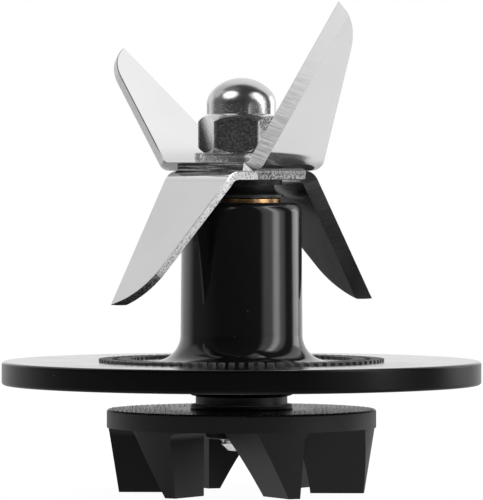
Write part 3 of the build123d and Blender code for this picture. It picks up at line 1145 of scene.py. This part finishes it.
@dataclass
class Shaft:
    """Shaft with a real thread on the foot that shows under the coupler."""

    cut_level: float = 10.4
    crest_radius: float = 3.95
    root_radius: float = 3.3
    tip_radius: float = 2.4
    pitch: float = 1.0
    turns: int = 4
    steps_per_turn: int = 40

    def build(self) -> None:
        """Keep the node above the cut and build the threaded foot below it."""
        foot = span("shaft")[0]
        work = Work()
        work.copy("shaft")
        bmesh.ops.bisect_plane(
            work.bm, geom=work.whole(), dist=FINE_MERGE, plane_co=(0, 0, self.cut_level),
            plane_no=(0, 0, -1), clear_outer=True,
        )
        work.turn(
            [
                Corner(0.0, foot),
                Corner(self.tip_radius, foot, 0.2),
                Corner(self.root_radius, foot + self.root_radius - self.tip_radius),
                Corner(self.root_radius, self.cut_level + self.pitch),
                Corner(0.0, self.cut_level + self.pitch),
            ],
            64,
        )
        self.build_thread(work, foot)
        fit(work.settle("shaft_steel_body", [BRIGHT]), Body.SPINDLE, "shaft_steel", "shaft")

    def build_thread(self, work: Work, foot: float) -> None:
        """Sweep one tooth up the foot as a helix, and chamfer its start.

        Args:
            work: Takes the thread.
            foot: Level of the shaft's lower end.
        """
        shell = bmesh.new()
        sunk, crest = self.root_radius - 0.05, self.crest_radius
        tooth = ((sunk, 0.0), (crest, 0.42), (crest, 0.58), (sunk, 1.0))
        chain = [shell.verts.new((radius, 0, foot + share * self.pitch)) for radius, share in tooth]
        edges = [shell.edges.new(pair) for pair in zip(chain, chain[1:])]
        bmesh.ops.spin(
            shell, geom=chain + edges, cent=(0, 0, 0), axis=(0, 0, 1),
            dvec=(0, 0, self.pitch / self.steps_per_turn),
            angle=FULL_TURN * self.turns, steps=self.steps_per_turn * self.turns,
        )
        bmesh.ops.remove_doubles(shell, verts=shell.verts, dist=MERGE)
        for vert in shell.verts:
            limit = self.tip_radius + max(vert.co.z - foot, 0.0)
            if vert.co.xy.length > limit:
                vert.co.xy *= limit / vert.co.xy.length
        bmesh.ops.recalc_face_normals(shell, faces=shell.faces)
        work.add(shell)


class Panel(NamedTuple):
    """An upright panel of the surround: its sides, in degrees from the front, and its brightness."""

    low: float
    high: float
    soft: float
    level: float

    def shine(self, azimuth: Socket) -> Socket:
        """How bright the surround is there."""
        return azimuth.band(self.low, self.high, self.soft) * self.level


@dataclass
class Studio:
    """Camera, softboxes, white surround and floor, as the photograph was lit."""

    eye_distance: float = 0.95
    eye_height: float = 0.058
    aim_height: float = 0.04147
    pixels_per_metre: float = 5850.0
    sensor: float = 36.0
    floor_half: float = 0.62
    card_half: float = 0.43
    card_fade: float = 0.07
    softbox: Panel = Panel(41.0, 90.0, 6.0, 1.1)
    softbox_core: Panel = Panel(63.0, 77.0, 5.0, 3.6)
    strip: Panel = Panel(116.0, 136.0, 3.0, 1.7)
    spill: Panel = Panel(-140.0, -62.0, 22.0, 0.13)
    room: float = 0.05
    lamp_place: Tuple[float, float, float] = (-0.32, -0.235, 0.54)
    lamp_size: float = 0.47
    lamp_radiance: float = 1.9

    def build(self) -> None:
        """Build the whole set."""
        self.build_camera()
        self.build_world()
        self.build_floor()
        self.build_lamp()
        bpy.context.scene.view_settings.view_transform = "Standard"

    def build_camera(self) -> None:
        """Place the camera so that a metre at the spin axis has its size in the picture."""
        data = bpy.data.cameras.new("camera")
        data.sensor_fit = "HORIZONTAL"
        data.sensor_width = self.sensor
        data.lens = self.pixels_per_metre * self.eye_distance / IMAGE_WIDTH * self.sensor
        data.clip_end = 20.0
        camera = bpy.data.objects.new("camera", data)
        bpy.context.scene.collection.objects.link(camera)
        camera.location = (0, -self.eye_distance, self.eye_height)
        aim = Vector((0, 0, self.aim_height)) - camera.location
        camera.rotation_euler = aim.to_track_quat("-Z", "Y").to_euler()
        bpy.context.scene.camera = camera

    def build_world(self) -> None:
        """White behind the object, a tall softbox at its right, and a dim room in front."""
        world = bpy.data.worlds.new("surround")
        bpy.context.scene.world = world
        world.use_nodes = True
        net = Net(world.node_tree)
        x, y, z = net.split(net.node("ShaderNodeTexCoord", out="Generated"))
        azimuth = net.math("DEGREES", net.math("ARCTAN2", x, 0 - y))
        left = x.step(-0.4, -0.72)
        back = ((y - 0.39 + left * 0.045) / (left * 0.195 + 0.06)).step(-1.0, 1.0)
        softbox = (self.softbox.shine(azimuth) + self.softbox_core.shine(azimuth)) * z.step(0.88, 0.76)
        strip = self.strip.shine(azimuth) * z.step(0.4, 0.3)
        high = z.step(0.3, 0.5)
        glow = x.step(-0.48, -0.58) * y.step(0.0, 0.2) * high * 0.65
        seen = net.node("ShaderNodeLightPath", out="Is Camera Ray")
        wall = back * (0.95 - x.step(-0.1, -0.45) * high * 0.3)
        level = self.room + softbox + strip + wall.larger(self.spill.shine(azimuth)).larger(glow)
        shade = world.node_tree.nodes["Background"]
        net.put(shade.inputs["Strength"], seen + (1 - seen) * level)
        net.put(shade.inputs["Color"], (1, 1, 1, 1))

    def build_floor(self) -> None:
        """A white floor that keeps a faint shadow."""
        work = bmesh.new()
        bmesh.ops.create_grid(work, x_segments=1, y_segments=1, size=self.floor_half)
        mesh = bpy.data.meshes.new("floor")
        work.to_mesh(mesh)
        work.free()
        floor = bpy.data.objects.new("floor", mesh)
        bpy.context.scene.collection.objects.link(floor)
        mesh.materials.append(self.floor_material())

    def floor_material(self) -> bpy.types.Material:
        """White to the camera; in reflections, a white card that ends in front and at the sides."""
        made = bpy.data.materials.new("white_floor")
        made.use_nodes = True
        net = Net(made.node_tree)
        nodes = made.node_tree.nodes
        shader = nodes["Principled BSDF"]
        net.put(shader.inputs["Base Color"], (0.85, 0.85, 0.85, 1.0))
        net.put(shader.inputs["Roughness"], 1.0)
        rays = net.node("ShaderNodeLightPath").source.node.outputs
        camera = Socket(net, rays["Is Camera Ray"])
        seen = camera
        for ray in ("Is Glossy Ray", "Is Transmission Ray"):
            seen = seen.larger(Socket(net, rays[ray]))
        x, y, _ = net.split(net.place())
        sides = abs(x).step(self.card_half + self.card_fade, self.card_half - self.card_fade)
        card = sides * y.step(-0.36, -0.12)
        glow = net.node("ShaderNodeEmission")
        net.put(glow.source.node.inputs["Strength"], camera * 1.1 + (1 - camera) * (card * 0.67 + 0.18))
        lit = Socket(net, shader.outputs["BSDF"])
        both = net.node("ShaderNodeMixShader", None, {0: seen * 0.88, 1: lit, 2: glow})
        net.put(nodes["Material Output"].inputs["Surface"], both)
        return made

    def build_lamp(self) -> None:
        """Add one round lamp that faces the object, flagged off the base plate."""
        data = bpy.data.lights.new("left_lamp", "AREA")
        data.shape = "DISK"
        data.size = self.lamp_size
        data.energy = self.lamp_radiance * (math.pi * self.lamp_size / 2) ** 2
        lamp = bpy.data.objects.new("left_lamp", data)
        bpy.context.scene.collection.objects.link(lamp)
        lamp.location = self.lamp_place
        aim = Vector((0, 0, self.aim_height)) - lamp.location
        lamp.rotation_euler = aim.to_track_quat("-Z", "Y").to_euler()
        flagged = bpy.data.collections.new("flagged_off_left_lamp")
        flagged.objects.link(bpy.data.objects["base_plate_body"])
        flagged.collection_objects[0].light_linking.link_state = "EXCLUDE"
        lamp.light_linking.receiver_collection = flagged


NODE_FINISHES: Dict[str, Finish] = {
    "base_plate": COATING,
    "upper_blade": UPPER_FACE,
    "lower_blade": LOWER_FACE,
    "inner_spacer_sleeve": BRIGHT,
    "outer_spacer_sleeve": BRIGHT,
    "retaining_clip": BLACKENED,
    "shaft_seal": RUBBER,
    "seal_spring": BRIGHT,
    "wear_ring": BRONZE,
    "shaft": BRIGHT,
    "flared_ring": RUBBER,
    "support_washer": BLACKENED,
    "top_washer": WASHER,
    "cap_nut": NUT_DOME,
    "slinger": SLINGER,
    "drive_coupler": PLASTIC,
    "coupler_insert": BRIGHT,
}


def dress_nodes() -> None:
    """Give every CAD node that still shows its finish."""
    for name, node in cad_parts.items():
        finish = NODE_FINISHES.get(name)
        if "bearing" in name:
            finish = NYLON if name.endswith("cage") else BEARING
        if finish is None:
            continue
        node.data.materials.clear()
        node.data.materials.append(finish.material())


def main() -> None:
    """Build every piece, then the set."""
    logging.basicConfig(level=logging.INFO, format="%(name)s %(message)s")
    dress_nodes()
    BasePlate().build()
    StampedBlade(
        "upper_blade", Fold.UP, -45.0,
        WingForm(51.5, 34.5, 9.0, 25.4, 0.1, 2.2),
        WingForm(36.0, 34.5, 9.0, 25.4, 0.1, 2.2),
        (UPPER_FACE, UPPER_BEVEL, UPPER_EDGE, UPPER_UNDER, UPPER_SHADE_LINE),
    ).build()
    StampedBlade(
        "lower_blade", Fold.DOWN, -135.0,
        WingForm(58.8, 26.0, 7.4, 18.6, 0.6, 2.2),
        WingForm(56.8, 26.0, 7.4, 18.6, 0.6, 2.2),
        (LOWER_FACE, LOWER_BEVEL, LOWER_EDGE, LOWER_UNDER, LOWER_SHADE_LINE),
    ).build()
    CapNut().build()
    TopWasher().build()
    Coupler().build()
    Shaft().build()
    Studio().build()


if __name__ == "__main__":
    main()
